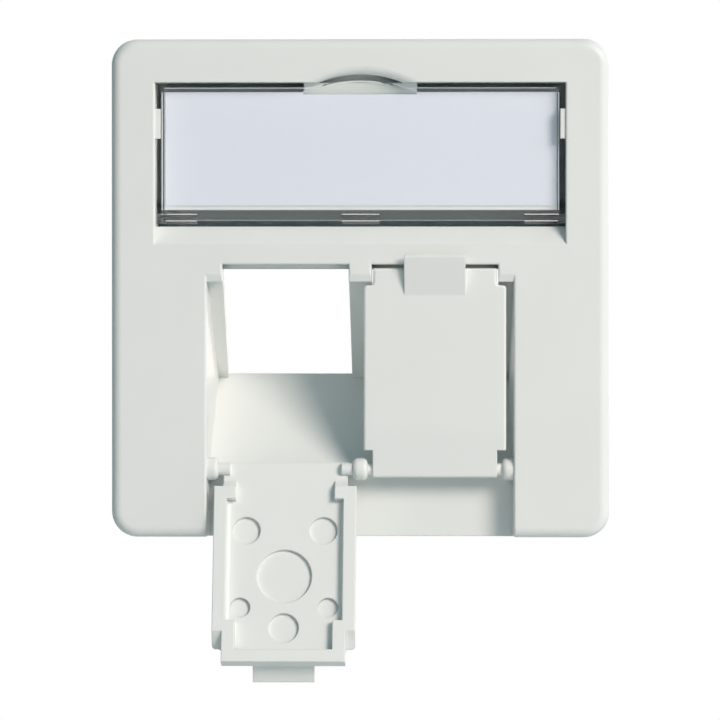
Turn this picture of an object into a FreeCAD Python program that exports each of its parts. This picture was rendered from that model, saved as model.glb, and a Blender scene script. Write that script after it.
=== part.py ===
"""Central cover plate for two slanted data outlets, as a parametric document in millimetres.

The plate stands upright: +X is to the right as seen from the front, +Z is up and +Y points into the
wall. The origin is the middle of the rim's back edge, where the plate seats on its frame. A depth is
measured from the front face into the wall, a height from the middle of the plate upwards.
"""
import FreeCAD, Part
import math
import os
import re

import Sketcher
from FreeCAD import Placement, Rotation, Vector

SIZES = {
    # Plate: a square shell with rounded corners, open at the back
    "plate_side": 50.0,
    "plate_corner_radius": 2.6,
    "front_edge_radius": 1.0,
    "rim_depth": 9.0,
    "rim_wall": 1.6,
    "face_thickness": 2.0,
    "hollow_corner_radius": 1.0,
    # Label field: a shallow field with a sloped foot, in it a platform with a trench and grooves round it
    "field_margin": 4.4,
    "field_top_margin": 4.35,
    "field_gap": 3.82,
    "field_depth": 1.8,
    "trench_height": 1.65,
    "trench_depth": 7.0,
    "groove_width": 0.85,
    "tray_wall": 1.4,
    "notch_width": 8.5,
    "notch_rise": 0.85,
    "notch_depth": 3.0,
    "notch_rounding": 0.8,
    "opening_edge_radius": 0.2,
    "nub_height": 3.0,
    "nub_drop": 4.15,
    "nub_setback": 0.25,
    "nub_thickness": 0.6,
    "nub_gap": 0.1,
    # Label strip and its clear window
    "label_side_gap": 1.0,
    "label_top_gap": 0.95,
    "label_foot_gap": 2.1,
    "label_thickness": 0.15,
    "window_side_gap": 0.65,
    "window_top_gap": 0.5,
    "window_foot_gap": 0.55,
    "window_setback": 0.4,
    "window_thickness": 1.1,
    "window_bevel": 0.12,
    "foot_width": 3.5,
    "foot_thickness": 1.1,
    "foot_overhang": 0.6,
    "foot_rounding": 0.5,
    "clip_width": 3.8,
    "pivot_rise": 0.8,
    "pivot_depth": 2.7,
    "pivot_radius": 0.5,
    "pivot_clearance": 0.05,
    "pivot_reach": 0.6,
    "pivot_end_gap": 0.2,
    "lip_width": 11.4,
    "lip_height": 0.7,
    "lip_side_drop": 0.35,
    "lip_arch_rise": 1.05,
    "lip_setback": 0.05,
    "lip_rounding": 0.2,
    # Ports: two openings in a frame that leans back by 45 degrees, in a scoop open at the bottom
    "port_width": 12.7,
    "flap_end_gap": 0.38,
    "crest_rise": 0.41,
    "ledge_drop": 0.45,
    "ledge_gap": 0.15,
    "scoop_side_gap": 0.8,
    "scoop_draft": 3.0,
    "shelf_rise": 0.6,
    "shelf_depth": 3.2,
    "frame_thickness": 1.7,
    "housing_wall": 1.4,
    "block_height": 0.98,
    "block_slope": 0.75,
    "block_setback": 0.28,
    "rib_thickness": 1.0,
    "rib_depth": 5.5,
    "rib_height": -6.0,
    "rib_pitch": 10.0,
    # Hinges: stub pins on the flaps turn in lugs on the plate
    "hinge_height": -18.2,
    "hinge_depth": 1.3,
    "pin_radius": 0.6,
    "pin_clearance": 0.05,
    "pin_reach": 0.55,
    "pin_end_gap": 0.2,
    "lug_radius": 1.1,
    "lug_rounding": 0.5,
    "lug_side_gap": 0.5,
    # Dust flaps: flat trays with notched corners and a pry tab
    "flap_hinge_width": 12.5,
    "flap_hinge_step": 0.9,
    "flap_end_step": 0.975,
    "flap_gap": 0.7,
    "flap_thickness": 1.9,
    "flap_setback": 0.1,
    "flap_length": 20.2,
    "flap_end_length": 1.7,
    "flap_heel": 0.8,
    "flap_heel_rounding": 0.25,
    "flap_edge_rounding": 0.25,
    "flap_corner_rounding": 0.35,
    "flap_notch_rounding": 0.4,
    "shoulder_gap": 0.85,
    "bend_height": 3.9,
    "bend_drop": 0.5,
    "bend_radius": 12.0,
    "flap_corner_chamfer": 1.5,
    "tray_rim": 1.3,
    "tray_depth": 0.8,
    "tray_cove": 0.4,
    "tray_shoulder": 3.3,
    "rim_start": 1.2,
    "tray_end_length": 3.0,
    "tab_width": 6.15,
    "tab_root": 2.7,
    "tab_rise": 1.25,
    "tab_overhang": 1.35,
    "tab_tip": 0.3,
    "tab_rounding": 0.2,
    "mark_depth": 0.35,
    "upper_marks_inset": 1.989,
    "upper_marks_rise": 6.4,
    "upper_marks_radius": 1.4,
    "lower_marks_inset": 1.4625,
    "lower_marks_rise": 14.4,
    "lower_marks_radius": 1.0,
    "middle_mark_rise": 11.15,
    "middle_mark_radius": 2.75,
    "end_mark_rise": 16.5,
    "end_mark_radius": 1.5,
    "open_angle": 161.0,
    # Countersunk fixing screw behind the label strip
    "screw_radius": 1.5,
    "screw_neck_radius": 1.2,
    "screw_neck_end": 0.5,
    "screw_length": 18.0,
    "screw_head_radius": 2.8,
    "screw_head_edge": 0.25,
    "screw_slot_width": 0.8,
    "screw_slot_depth": 0.7,
    "screw_tip_chamfer": 0.4,
    "screw_sink": 0.05,
    "screw_clearance": 0.2,
    "boss_radius": 3.4,
    # Cutting shapes reach this far past the faces that they open
    "cut_margin": 1.0,
}

# Sizes that follow from others, so that pieces which meet keep their clearance
FITS = {
    "shelf_top": "hinge_height + shelf_rise",
    "port_top": "hinge_height + flap_length + flap_end_gap",
    "port_crest": "(port_top - shelf_depth + shelf_top) / 2 + crest_rise",
    "field_width": "plate_side - 2 * field_margin",
    "field_top": "plate_side / 2 - field_top_margin",
    "field_foot": "port_top + field_gap",
    "nub_middle": "field_top - nub_drop",
    "pivot_height": "field_foot + pivot_rise",
    "label_foot": "field_foot + label_foot_gap",
    "label_width": "field_width - 2 * label_side_gap",
    "label_height": "field_top - label_top_gap - label_foot",
    "screw_height": "label_foot + label_height / 2",
    "flap_width": "flap_hinge_width + 2 * flap_hinge_step",
    "flap_end_width": "flap_width - 2 * flap_end_step",
    "port_pitch": "flap_width + flap_gap",
    "scoop_width": "port_pitch + flap_width + 2 * scoop_side_gap",
    "middle_lug_width": "port_pitch - flap_hinge_width - 2 * lug_side_gap",
}

doc = FreeCAD.newDocument("wall_plate")
sheet = doc.addObject("Spreadsheet::Sheet", "Sizes")
cells = {name: str(value) for name, value in SIZES.items()}
cells.update({name: "=" + text for name, text in FITS.items()})
for row, (name, content) in enumerate(cells.items(), start=1):
    sheet.set(f"A{row}", name)
    sheet.set(f"B{row}", content)
    sheet.setAlias(f"B{row}", name)
doc.recompute()


def formula(text):
    """An expression with the sheet's names turned into references to its cells."""
    return re.sub(r"[a-z]\w*", lambda word: "Sizes." + word[0] if word[0] in cells else word[0], text)


def new_body(label):
    body = doc.addObject("PartDesign::Body", label)
    body.Label = label
    return body


def origin_plane(body, role):
    return next(f for f in body.Origin.OriginFeatures if f.Role == role)


def new_sketch(body, name, role, offset="0", up="0"):
    """A sketch on one of the body's own planes, moved along its normal and up."""
    sketch = body.newObject("Sketcher::SketchObject", name)
    sketch.AttachmentSupport = [(origin_plane(body, role), "")]
    sketch.MapMode = "FlatFace"
    sketch.setExpression("AttachmentOffset.Base.z", formula(offset))
    sketch.setExpression("AttachmentOffset.Base.y", formula(up))
    return sketch


def front_sketch(body, name, depth):
    """A sketch seen from the front, at a depth below the front face."""
    return new_sketch(body, name, "XZ_Plane", f"rim_depth - ({depth})")


def place(sketch, piece, point, spot, rough):
    """Pin a point of the sketch to expressions for its place."""
    for kind, text, value in zip(("DistanceX", "DistanceY"), spot, rough):
        number = sketch.addConstraint(Sketcher.Constraint(kind, -1, 1, piece, point, value))
        sketch.setExpression(f"Constraints[{number}]", formula(text))


def polygon(sketch, corners):
    """A closed outline whose corners are pairs of expressions."""
    count = len(corners)
    first = sketch.GeometryCount
    turns = [2 * math.pi * n / count for n in range(count)]
    rough = [Vector(10 * math.cos(turn), 10 * math.sin(turn), 0) for turn in turns]
    for n in range(count):
        sketch.addGeometry(Part.LineSegment(rough[n], rough[(n + 1) % count]))
    for n in range(count):
        following = first + (n + 1) % count
        sketch.addConstraint(Sketcher.Constraint("Coincident", first + n, 2, following, 1))
    for n, corner in enumerate(corners):
        place(sketch, first + n, 1, corner, (rough[n].x, rough[n].y))


def rectangle(sketch, left, right, low, high):
    polygon(sketch, [(left, low), (right, low), (right, high), (left, high)])


def circle(sketch, across, up, radius):
    round_line = sketch.addGeometry(Part.Circle(Vector(3, 2, 0), Vector(0, 0, 1), 1.0))
    place(sketch, round_line, 3, (across, up), (3.0, 2.0))
    number = sketch.addConstraint(Sketcher.Constraint("Radius", round_line, 1.0))
    sketch.setExpression(f"Constraints[{number}]", formula(radius))


def arch(sketch, half, low, spring, rise):
    """An outline with upright sides whose top is an arc from spring line to spring line."""
    corners = [("-" + half, spring), ("-" + half, low), (half, low), (half, spring)]
    rough = [Vector(-5, 1, 0), Vector(-5, -1, 0), Vector(5, -1, 0), Vector(5, 1, 0)]
    for n in range(3):
        sketch.addGeometry(Part.LineSegment(rough[n], rough[n + 1]))
    for n in range(2):
        sketch.addConstraint(Sketcher.Constraint("Coincident", n, 2, n + 1, 1))
    for n in range(3):
        place(sketch, n, 1, corners[n], (rough[n].x, rough[n].y))
    place(sketch, 2, 2, corners[3], (rough[3].x, rough[3].y))
    doc.recompute()
    right = sketch.Geometry[2].EndPoint
    left = sketch.Geometry[0].StartPoint
    crown = (left + right) / 2 + Vector(0, size(rise), 0)
    top = sketch.addGeometry(Part.Arc(right, crown, left))
    sketch.addConstraint(Sketcher.Constraint("Coincident", 2, 2, top, 1))
    sketch.addConstraint(Sketcher.Constraint("Coincident", top, 2, 0, 1))
    radius = sketch.addConstraint(Sketcher.Constraint("Radius", top, sketch.Geometry[top].Radius))
    sketch.setExpression(f"Constraints[{radius}]", formula(f"(({half}) ^ 2 + {rise} ^ 2) / (2 * {rise})"))


def extrude(kind, sketch, length, way):
    """A pad or pocket: way is forward (along the sketch's normal), back or both."""
    body = sketch.getParentGeoFeatureGroup()
    feature = body.newObject("PartDesign::" + kind, sketch.Name + "_" + kind.lower())
    feature.Profile = sketch
    feature.setExpression("Length", formula(length))
    feature.SideType = "Symmetric" if way == "both" else "One side"
    default_way = "forward" if kind == "Pad" else "back"
    feature.Reversed = way not in ("both", default_way)
    return feature


def pad(sketch, length, way="forward"):
    return extrude("Pad", sketch, length, way)


def pocket(sketch, length, way="back"):
    """A cut, which has to take material away."""
    body = sketch.getParentGeoFeatureGroup()
    doc.recompute()
    before = body.Shape.Volume
    feature = extrude("Pocket", sketch, length, way)
    doc.recompute()
    if not body.Shape.Volume < before:
        raise RuntimeError(f"{sketch.Name} cuts nothing")
    return feature


def mirror(body, name, features):
    """The same features again on the other side of the middle plane X = 0."""
    twin = body.newObject("PartDesign::Mirrored", name)
    twin.Originals = features
    twin.MirrorPlane = (origin_plane(body, "YZ_Plane"), [""])
    body.Tip = twin
    doc.recompute()
    return twin


def dress(kind, body, name, amount, wanted):
    """A fillet or chamfer on the edges of the body's tip that the test picks."""
    doc.recompute()
    base = body.Tip
    names = [f"Edge{n}" for n, edge in enumerate(base.Shape.Edges, start=1) if wanted(edge)]
    if not names:
        raise RuntimeError(f"{name} finds no edge")
    feature = body.newObject("PartDesign::" + kind, name)
    feature.Base = (base, names)
    feature.setExpression("Radius" if kind == "Fillet" else "Size", formula(amount))
    doc.recompute()
    return feature


def size(name):
    return float(getattr(sheet, name))


def near(value, target):
    return abs(value - target) < 1e-4


def flat_in(edge, axis, value):
    """Whether the whole edge lies in the plane where a coordinate has this value."""
    box = edge.BoundBox
    low, high = {"X": (box.XMin, box.XMax), "Y": (box.YMin, box.YMax), "Z": (box.ZMin, box.ZMax)}[axis]
    return near(low, value) and near(high, value)


def runs_along(edge, axis):
    """Whether the edge is straight and parallel to this axis."""
    if not isinstance(edge.Curve, Part.Line):
        return False
    return near(abs(edge.Curve.Direction.dot(axis)), 1.0)


def side_cut(depth, height):
    """A corner of an outline drawn in the upright middle plane, from its depth and height."""
    return (f"({depth}) - rim_depth", height)


# The scoop's floor rises into the wall by 45 degrees: depth minus height is the same all along it
FLOOR_LINE = "(shelf_depth - shelf_top)"
# The frame leans back by 45 degrees: depth plus height is the same all over its front and its back
FRAME_FRONT = "port_top"
FRAME_BACK = "(port_top + frame_thickness * sqrt(2))"
# The plate's corner blocks beside the flaps' free ends stop at this height on the front face
BLOCK_LOW = "(port_top - block_height)"
SKIN_MIDDLE = "(face_thickness / 2)"
HALF_SIDE = "(plate_side / 2)"
FIELD_HALF = "(field_width / 2)"
# The label and the platform under it end at the same height
LABEL_TOP = "(label_foot + label_height)"


def make_cover_plate():
    body = new_body("cover_plate")
    make_shell(body)
    add_backing(body)
    cut_label_field(body)
    cut_ports(body)
    add_hinge_lugs(body)
    add_window_seats(body)
    cut_screw_hole(body)
    round_front_edges(body)
    return body


def make_shell(body):
    """Outer block with rounded corners and front edge, hollow at the back."""
    block = new_sketch(body, "plate_plan", "XY_Plane")
    rectangle(block, f"-{HALF_SIDE}", HALF_SIDE, "-rim_depth", "0")
    pad(block, "plate_side", "both")
    depth_axis = Vector(0, 1, 0)
    dress("Fillet", body, "plate_corners", "plate_corner_radius", lambda e: runs_along(e, depth_axis))
    front = -size("rim_depth")
    dress("Fillet", body, "plate_front_edge", "front_edge_radius", lambda e: flat_in(e, "Y", front))
    hollow = front_sketch(body, "hollow_outline", "rim_depth")
    inner = f"({HALF_SIDE} - rim_wall)"
    rectangle(hollow, f"-{inner}", inner, f"-{inner}", inner)
    pocket(hollow, "rim_depth - face_thickness", "forward")
    inner_half = size("plate_side") / 2 - size("rim_wall")

    def inner_corner(edge):
        middle = edge.BoundBox.Center
        at_corner = near(abs(middle.x), inner_half) and near(abs(middle.z), inner_half)
        return runs_along(edge, depth_axis) and at_corner

    dress("Fillet", body, "hollow_corners", "hollow_corner_radius", inner_corner)


def add_backing(body):
    """What stands behind the face: label tray, screw boss, port housing and ribs."""
    tray = front_sketch(body, "tray_outline", SKIN_MIDDLE)
    outer = f"({FIELD_HALF} + tray_wall)"
    rectangle(tray, f"-{outer}", outer, "field_foot - tray_wall", "field_top + tray_wall")
    pad(tray, f"trench_depth + tray_wall - {SKIN_MIDDLE}", "back")
    under = front_sketch(body, "platform_hollow", "trench_depth + tray_wall")
    platform_outline(under, "tray_wall")
    pocket(under, "trench_depth - field_depth", "forward")
    boss = front_sketch(body, "boss_outline", "rim_depth")
    circle(boss, "0", "screw_height", "boss_radius")
    pad(boss, "rim_depth - field_depth - tray_wall / 2")
    housing = new_sketch(body, "housing_section", "YZ_Plane")
    outer_floor = f"({FLOOR_LINE} + housing_wall * sqrt(2))"
    back_depth = f"(({FRAME_BACK} + {outer_floor}) / 2)"
    outer_shelf = "(shelf_depth + housing_wall)"
    rim_middle = f"rim_wall / 2 - {HALF_SIDE}"
    polygon(housing, [
        side_cut(SKIN_MIDDLE, f"{FRAME_BACK} - {SKIN_MIDDLE}"),
        side_cut(back_depth, f"{FRAME_BACK} - {back_depth}"),
        side_cut(outer_shelf, f"{outer_shelf} - {outer_floor}"),
        side_cut(outer_shelf, rim_middle),
        side_cut(SKIN_MIDDLE, rim_middle),
    ])
    pad(housing, "scoop_width + 2 * housing_wall", "both")
    ribs = []
    for name, height in (("upper_rib", "rib_height"), ("lower_rib", "(rib_height - rib_pitch)")):
        rib = front_sketch(body, name, SKIN_MIDDLE)
        inner = "scoop_width / 2 + housing_wall / 2"
        outer = f"{HALF_SIDE} - rim_wall / 2"
        rectangle(rib, inner, outer, f"{height} - rib_thickness / 2", f"{height} + rib_thickness / 2")
        ribs.append(pad(rib, f"rib_depth - {SKIN_MIDDLE}", "back"))
    mirror(body, "far_ribs", ribs)


def platform_outline(sketch, inset):
    """Outline of the label's platform, drawn in by an inset."""
    half = f"({FIELD_HALF} - groove_width - {inset})"
    low = f"field_foot + trench_height + {inset}"
    rectangle(sketch, f"-{half}", half, low, f"{LABEL_TOP} - {inset}")


def cut_label_field(body):
    """Field with its sloped foot, the trench and grooves round the platform, notch and lip rest."""
    field = new_sketch(body, "field_section", "YZ_Plane")
    polygon(field, [
        side_cut("-cut_margin", "field_foot - field_depth - cut_margin"),
        side_cut("field_depth", "field_foot"),
        side_cut("field_depth", "field_top"),
        side_cut("-cut_margin", "field_top"),
    ])
    pocket(field, "field_width", "both")
    grooves = front_sketch(body, "platform_grooves", "field_depth")
    rectangle(grooves, f"-{FIELD_HALF}", FIELD_HALF, "field_foot", "field_top")
    platform_outline(grooves, "0")
    pocket(grooves, "trench_depth - field_depth")
    notch = front_sketch(body, "finger_notch", "0")
    arch(notch, "(notch_width / 2)", "field_top - groove_width / 2", "field_top", "notch_rise")
    pocket(notch, "notch_depth")
    rest = front_sketch(body, "lip_rest", "field_depth")
    rectangle(rest, "-lip_width / 2", "lip_width / 2", f"{LABEL_TOP} - tray_wall / 2", "field_top")
    pad(rest, "trench_depth - field_depth", "back")


def cut_ports(body):
    """The scoop across both ports, then the two openings through the slanted frame."""
    scoop = new_sketch(body, "scoop_section", "YZ_Plane")
    block_foot = f"({BLOCK_LOW} - block_slope)"
    meet_depth = f"(({FRAME_FRONT} + {FLOOR_LINE}) / 2)"
    below = f"-{HALF_SIDE} - cut_margin"
    polygon(scoop, [
        side_cut("-cut_margin", BLOCK_LOW),
        side_cut("0", BLOCK_LOW),
        side_cut("block_setback", block_foot),
        side_cut(f"{FRAME_FRONT} - {block_foot}", block_foot),
        side_cut(meet_depth, f"{FRAME_FRONT} - {meet_depth}"),
        side_cut("shelf_depth", "shelf_top"),
        side_cut("shelf_depth", below),
        side_cut("-cut_margin", below),
    ])
    pocket(scoop, "scoop_width", "both")
    lean_scoop_walls(body)
    port = new_sketch(body, "port_section", "YZ_Plane", "port_pitch / 2")
    behind = f"({FRAME_BACK} + 2 * cut_margin)"
    ledge_depth = "(flap_setback + flap_thickness + ledge_gap)"
    ledge_low = "(port_top - ledge_drop)"
    top_depth = f"(({behind} + {ledge_depth} - {ledge_low}) / 2)"
    polygon(port, [
        side_cut("-cut_margin", "port_top"),
        side_cut(ledge_depth, "port_top"),
        side_cut(ledge_depth, ledge_low),
        side_cut(top_depth, f"{behind} - {top_depth}"),
        side_cut(f"{behind} - port_crest", "port_crest"),
        side_cut(f"{FLOOR_LINE} + port_crest", "port_crest"),
        side_cut(meet_depth, f"{FRAME_FRONT} - {meet_depth}"),
        side_cut("-cut_margin", block_foot + " - cut_margin"),
    ])
    opening = pocket(port, "port_width", "both")
    mirror(body, "far_port", [opening])


def lean_scoop_walls(body):
    """Draft on the scoop's two side walls, which come closer together behind the front face."""
    doc.recompute()
    base = body.Tip
    half = size("scoop_width") / 2
    front = -size("rim_depth")
    boxes = {f"Face{n}": face.BoundBox for n, face in enumerate(base.Shape.Faces, start=1)}
    walls = [name for name, box in boxes.items() if near(box.XMin, box.XMax) and near(abs(box.XMin), half)]
    faces = [name for name, box in boxes.items() if near(box.YMin, front) and near(box.YMax, front)]
    before = body.Shape.Volume
    draft = body.newObject("PartDesign::Draft", "scoop_wall_draft")
    draft.Base = (base, walls)
    draft.NeutralPlane = (base, faces)
    draft.setExpression("Angle", formula("scoop_draft"))
    draft.Reversed = True
    doc.recompute()
    if not body.Shape.Volume > before:
        raise RuntimeError("the scoop's walls lean the wrong way")


def add_hinge_lugs(body):
    """Round-nosed lugs that carry the flaps' pins: one between the flaps, one at each side."""
    wall_half = "(scoop_width / 2)"
    root = "housing_wall / 2"
    side_face = "(port_pitch - middle_lug_width / 2)"
    side_length = f"{wall_half} + {root} - {side_face}"
    add_lug(body, "middle_lug", "0", "middle_lug_width", "both")
    mirror(body, "far_lug", add_lug(body, "side_lug", f"{wall_half} + {root}", side_length, "back"))

    def nose_edge(edge):
        round_edge = isinstance(edge.Curve, Part.Circle) and near(edge.Curve.Radius, size("lug_radius"))
        return round_edge and near(edge.BoundBox.XMin, edge.BoundBox.XMax)

    dress("Fillet", body, "lug_edges", "lug_rounding", nose_edge)
    middle_hole = lug_circle(body, "middle_pin_hole", "0", "pin_radius + pin_clearance")
    pocket(middle_hole, "middle_lug_width + cut_margin", "both")
    side_hole = lug_circle(body, "side_pin_hole", side_face, "pin_radius + pin_clearance")
    hole = pocket(side_hole, "pin_reach + pin_end_gap", "forward")
    mirror(body, "far_pin_hole", [hole])


def lug_circle(body, name, across, radius):
    sketch = new_sketch(body, name, "YZ_Plane", across)
    circle(sketch, *side_cut("hinge_depth", "hinge_height"), radius)
    return sketch


def add_lug(body, name, across, length, way):
    """A lug is a round nose about the hinge axis and a neck back to the shelf."""
    nose = pad(lug_circle(body, name + "_nose", across, "lug_radius"), length, way)
    neck = new_sketch(body, name + "_neck", "YZ_Plane", across)
    near_end = "hinge_depth - rim_depth"
    far_end = "shelf_depth + housing_wall / 2 - rim_depth"
    rectangle(neck, near_end, far_end, "hinge_height - lug_radius", "hinge_height + lug_radius")
    return [nose, pad(neck, length, way)]


def add_window_seats(body):
    """Snap nubs beside the window and the sockets for its pivot pins."""
    nub = front_sketch(body, "snap_nub", "nub_setback")
    reach = f"{FIELD_HALF} - window_side_gap + nub_gap"
    low = "nub_middle - nub_height / 2"
    rectangle(nub, reach, f"{FIELD_HALF} + tray_wall / 2", low, "nub_middle + nub_height / 2")
    nub_pad = pad(nub, "nub_thickness", "back")
    mirror(body, "far_snap_nub", [nub_pad])
    socket = new_sketch(body, "pivot_socket", "YZ_Plane", f"{FIELD_HALF} - cut_margin")
    circle(socket, *side_cut("pivot_depth", "pivot_height"), "pivot_radius + pivot_clearance")
    socket_cut = pocket(socket, "cut_margin + pivot_reach + pivot_end_gap", "forward")
    mirror(body, "far_pivot_socket", [socket_cut])


def revolve(kind, sketch):
    """A full turn about the sketch's own horizontal axis."""
    body = sketch.getParentGeoFeatureGroup()
    feature = body.newObject("PartDesign::" + kind, sketch.Name + "_turned")
    feature.Profile = sketch
    feature.ReferenceAxis = (sketch, ["H_Axis"])
    feature.Angle = 360
    doc.recompute()
    return feature


def cut_screw_hole(body):
    """Countersunk hole through the floor of the field and the boss."""
    hole = new_sketch(body, "screw_hole", "YZ_Plane", "0", "screw_height")
    mouth = "screw_head_radius + screw_clearance"
    bore = "(screw_radius + screw_clearance)"
    edge_depth = "(field_depth + screw_sink + screw_head_edge)"
    cone_end = f"{edge_depth} + {mouth} - {bore}"
    polygon(hole, [
        side_cut(f"{edge_depth} - cut_margin", "0"),
        side_cut(f"{edge_depth} - cut_margin", mouth),
        side_cut(edge_depth, mouth),
        side_cut(cone_end, bore),
        side_cut("rim_depth + cut_margin", bore),
        side_cut("rim_depth + cut_margin", "0"),
    ])
    before = body.Shape.Volume
    revolve("Groove", hole)
    if not body.Shape.Volume < before:
        raise RuntimeError("the screw hole cuts nothing")


def round_front_edges(body):
    """Softened rims of the finger notch, then the sides of the field, the scoop and the ports."""
    front = -size("rim_depth")
    crisp_heights = [size("field_top"), size("field_foot") - size("field_depth")]
    crisp_heights.append(size("port_top") - size("block_height"))
    inside = size("plate_side") / 2 - size("front_edge_radius") - size("opening_edge_radius")

    def notch_rim(edge):
        round_edge = isinstance(edge.Curve, Part.Circle)
        return round_edge and flat_in(edge, "Y", front) and near(edge.Curve.Center.x, 0)

    def opening_rim(edge):
        box = edge.BoundBox
        straight = isinstance(edge.Curve, Part.Line)
        within = max(-box.XMin, box.XMax, -box.ZMax, box.ZMin) < inside
        crisp = near(box.ZMin, box.ZMax) and any(near(box.ZMin, height) for height in crisp_heights)
        return straight and flat_in(edge, "Y", front) and within and not crisp

    dress("Fillet", body, "notch_rim", "notch_rounding", notch_rim)
    dress("Fillet", body, "opening_rims", "opening_edge_radius", opening_rim)


def make_label_strip():
    body = new_body("label_strip")
    strip = front_sketch(body, "strip_outline", "field_depth")
    rectangle(strip, "-label_width / 2", "label_width / 2", "label_foot", LABEL_TOP)
    pad(strip, "label_thickness")
    return body


def make_label_window():
    """Clear window with bevelled front edges, a pry lip, two pivot feet and a centre clip."""
    body = new_body("label_window")
    half = f"({FIELD_HALF} - window_side_gap)"
    low = "(field_foot + window_foot_gap)"
    high = "(field_top - window_top_gap)"
    pane = front_sketch(body, "pane_outline", "window_setback")
    rectangle(pane, f"-{half}", half, low, high)
    pad(pane, "window_thickness", "back")
    front = size("window_setback") - size("rim_depth")
    dress("Chamfer", body, "pane_bevel", "window_bevel", lambda e: flat_in(e, "Y", front))
    add_pry_lip(body, high)
    foot = foot_sketch(body, "pivot_foot", half)
    foot_pad = pad(foot, "foot_width", "back")
    pin = new_sketch(body, "pivot_pin", "YZ_Plane", f"{half} - foot_width / 2")
    circle(pin, *side_cut("pivot_depth", "pivot_height"), "pivot_radius")
    pin_pad = pad(pin, "foot_width / 2 + window_side_gap + pivot_reach")
    mirror(body, "far_foot", [foot_pad, pin_pad])
    pad(foot_sketch(body, "centre_clip", "0"), "clip_width", "both")
    behind = size("pivot_depth") + size("foot_overhang") - size("rim_depth")
    dress("Fillet", body, "foot_noses", "foot_rounding",
          lambda e: runs_along(e, Vector(1, 0, 0)) and flat_in(e, "Y", behind))
    return body


def foot_sketch(body, name, across):
    """Side outline of a foot: from the pane back past the pivot, slim where the trench's edge passes."""
    foot = new_sketch(body, name, "YZ_Plane", across)
    low = "pivot_height - foot_thickness / 2"
    high = "pivot_height + foot_thickness / 2"
    pane_low = "field_foot + window_foot_gap"
    pane_middle = "window_setback + window_thickness / 2"
    nose = "pivot_depth + foot_overhang"
    polygon(foot, [
        side_cut(pane_middle, pane_low),
        side_cut("window_setback + window_thickness", pane_low),
        side_cut("pivot_depth - pivot_radius", low),
        side_cut(nose, low),
        side_cut(nose, high),
        side_cut(pane_middle, high),
    ])
    return foot


def add_pry_lip(body, pane_top):
    """Raised lip at the middle of the top edge, arched into the finger notch."""
    lip = front_sketch(body, "pry_lip", "lip_setback")
    arch(lip, "(lip_width / 2)", f"{pane_top} - lip_height", f"({pane_top} - lip_side_drop)", "lip_arch_rise")
    pad(lip, "window_setback - lip_setback + window_thickness / 2", "back")
    front = size("lip_setback") - size("rim_depth")
    dress("Fillet", body, "lip_edges", "lip_rounding", lambda e: flat_in(e, "Y", front))


def make_flap(label, side, angle):
    """A dust flap in its own frame, hinge along X through the origin and closed upwards, then placed."""
    body = new_body(label)
    make_flap_plate(body)
    cut_flap_corners(body)
    cut_flap_tray(body)
    add_flap_tab(body)
    add_flap_pins(body)
    body.Placement = Placement(Vector(), Rotation(Vector(1, 0, 0), 0))
    body.setExpression("Placement.Base.x", formula(f"{side} * port_pitch / 2"))
    body.setExpression("Placement.Base.y", formula("hinge_depth - rim_depth"))
    body.setExpression("Placement.Base.z", formula("hinge_height"))
    body.setExpression("Placement.Rotation.Angle", formula(angle))
    doc.recompute()
    return body


FLAP_FRONT = "(flap_setback - hinge_depth)"
FLAP_BACK = "(flap_setback - hinge_depth + flap_thickness)"
TRAY_FLOOR = f"({FLAP_BACK} - tray_depth)"
FLAP_SHOULDER = "(lug_radius + shoulder_gap)"
FLAP_BODY_TOP = "(flap_length - flap_end_length)"


def make_flap_plate(body):
    """Side outline: flat front, bent back a little near the hinge, where the rim runs out."""
    section = new_sketch(body, "flap_section", "YZ_Plane")
    polygon(section, [
        (FLAP_FRONT, "flap_length"),
        (FLAP_FRONT, "bend_height"),
        (f"{FLAP_FRONT} + bend_drop", "-flap_heel"),
        (TRAY_FLOOR, "-flap_heel"),
        (TRAY_FLOOR, "rim_start"),
        (FLAP_BACK, "rim_start + tray_depth"),
        (FLAP_BACK, "flap_length"),
    ])
    pad(section, "flap_width", "both")
    bend = size("bend_height")
    dress("Fillet", body, "flap_bend", "bend_radius",
          lambda e: runs_along(e, Vector(1, 0, 0)) and flat_in(e, "Z", bend))
    heel = -size("flap_heel")
    dress("Fillet", body, "flap_heel_edges", "flap_heel_rounding",
          lambda e: runs_along(e, Vector(1, 0, 0)) and flat_in(e, "Z", heel))


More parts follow.
